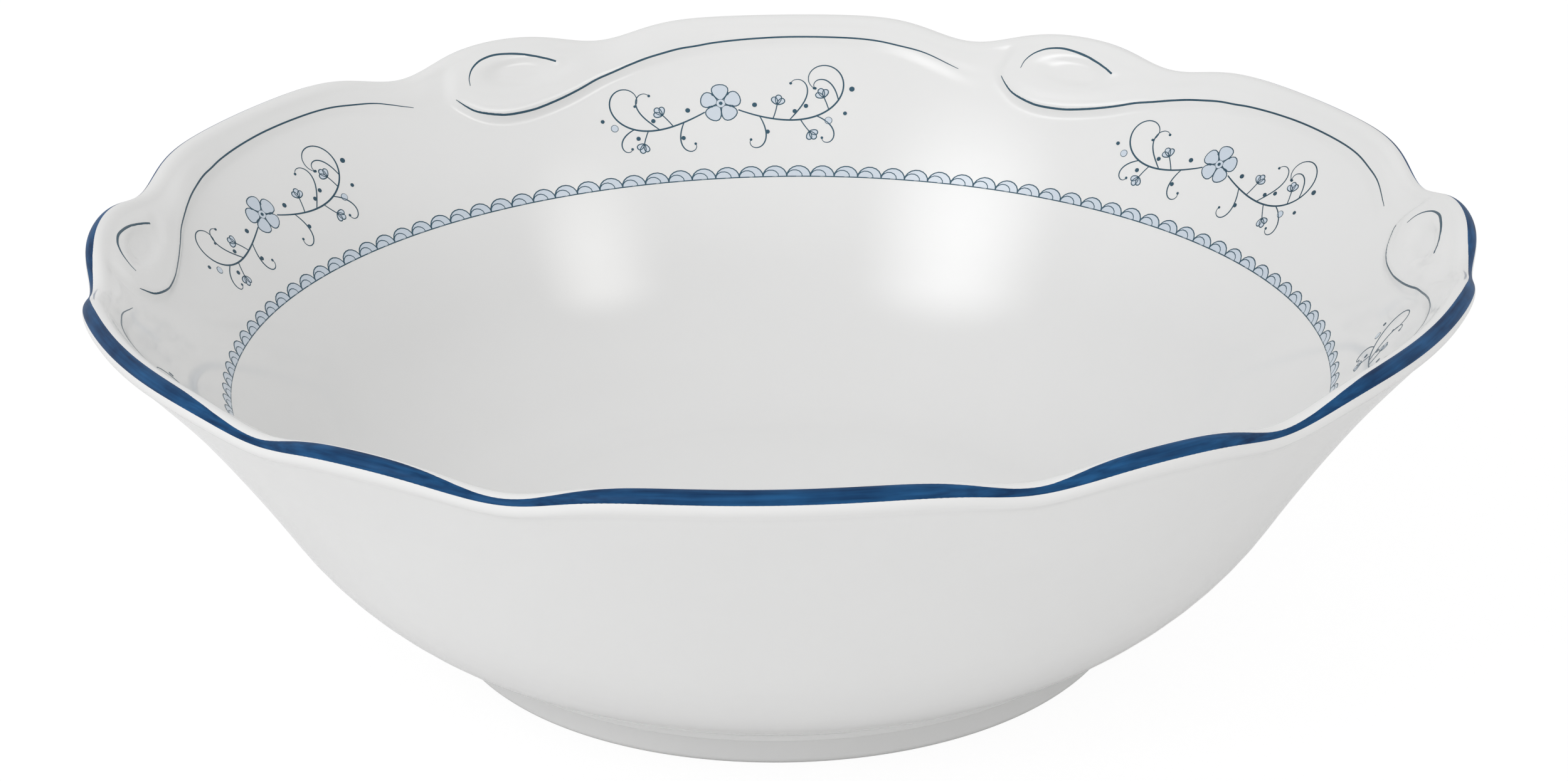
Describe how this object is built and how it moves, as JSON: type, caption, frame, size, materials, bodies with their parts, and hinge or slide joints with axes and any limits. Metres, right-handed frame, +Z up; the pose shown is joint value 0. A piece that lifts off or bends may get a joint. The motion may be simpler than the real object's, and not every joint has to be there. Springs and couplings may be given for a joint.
{
  "type": "serving bowl",
  "caption": "Round porcelain serving bowl on a foot ring, with a flared wall, a scalloped rim with moulded scroll ribbons, a cobalt rim line and a scale border.",
  "frame": {"origin": "centre of the foot ring, on the table", "axes": "+Z up along the bowl's axis; +X through the middle of one scroll of the rim; the rim repeats every 60 degrees"},
  "size_m": [0.2598, 0.26, 0.0825],
  "materials": {
    "glazed_porcelain": "glossy clear glaze over white porcelain",
    "cobalt_line": "hand-banded cobalt blue under a glossy glaze",
    "slate_blue_transfer": "fine slate-blue print with a pale blue wash, in the glaze"
  },
  "bodies": {
    "root": {"bowl_body": "glazed_porcelain", "foot_ring": "glazed_porcelain", "scroll_relief_1": "glazed_porcelain", "scroll_relief_2": "glazed_porcelain", "scroll_relief_3": "glazed_porcelain", "scroll_relief_4": "glazed_porcelain", "scroll_relief_5": "glazed_porcelain", "scroll_relief_6": "glazed_porcelain", "rim_line": "cobalt_line", "scale_border": "slate_blue_transfer"}
  },
  "joints": []
}
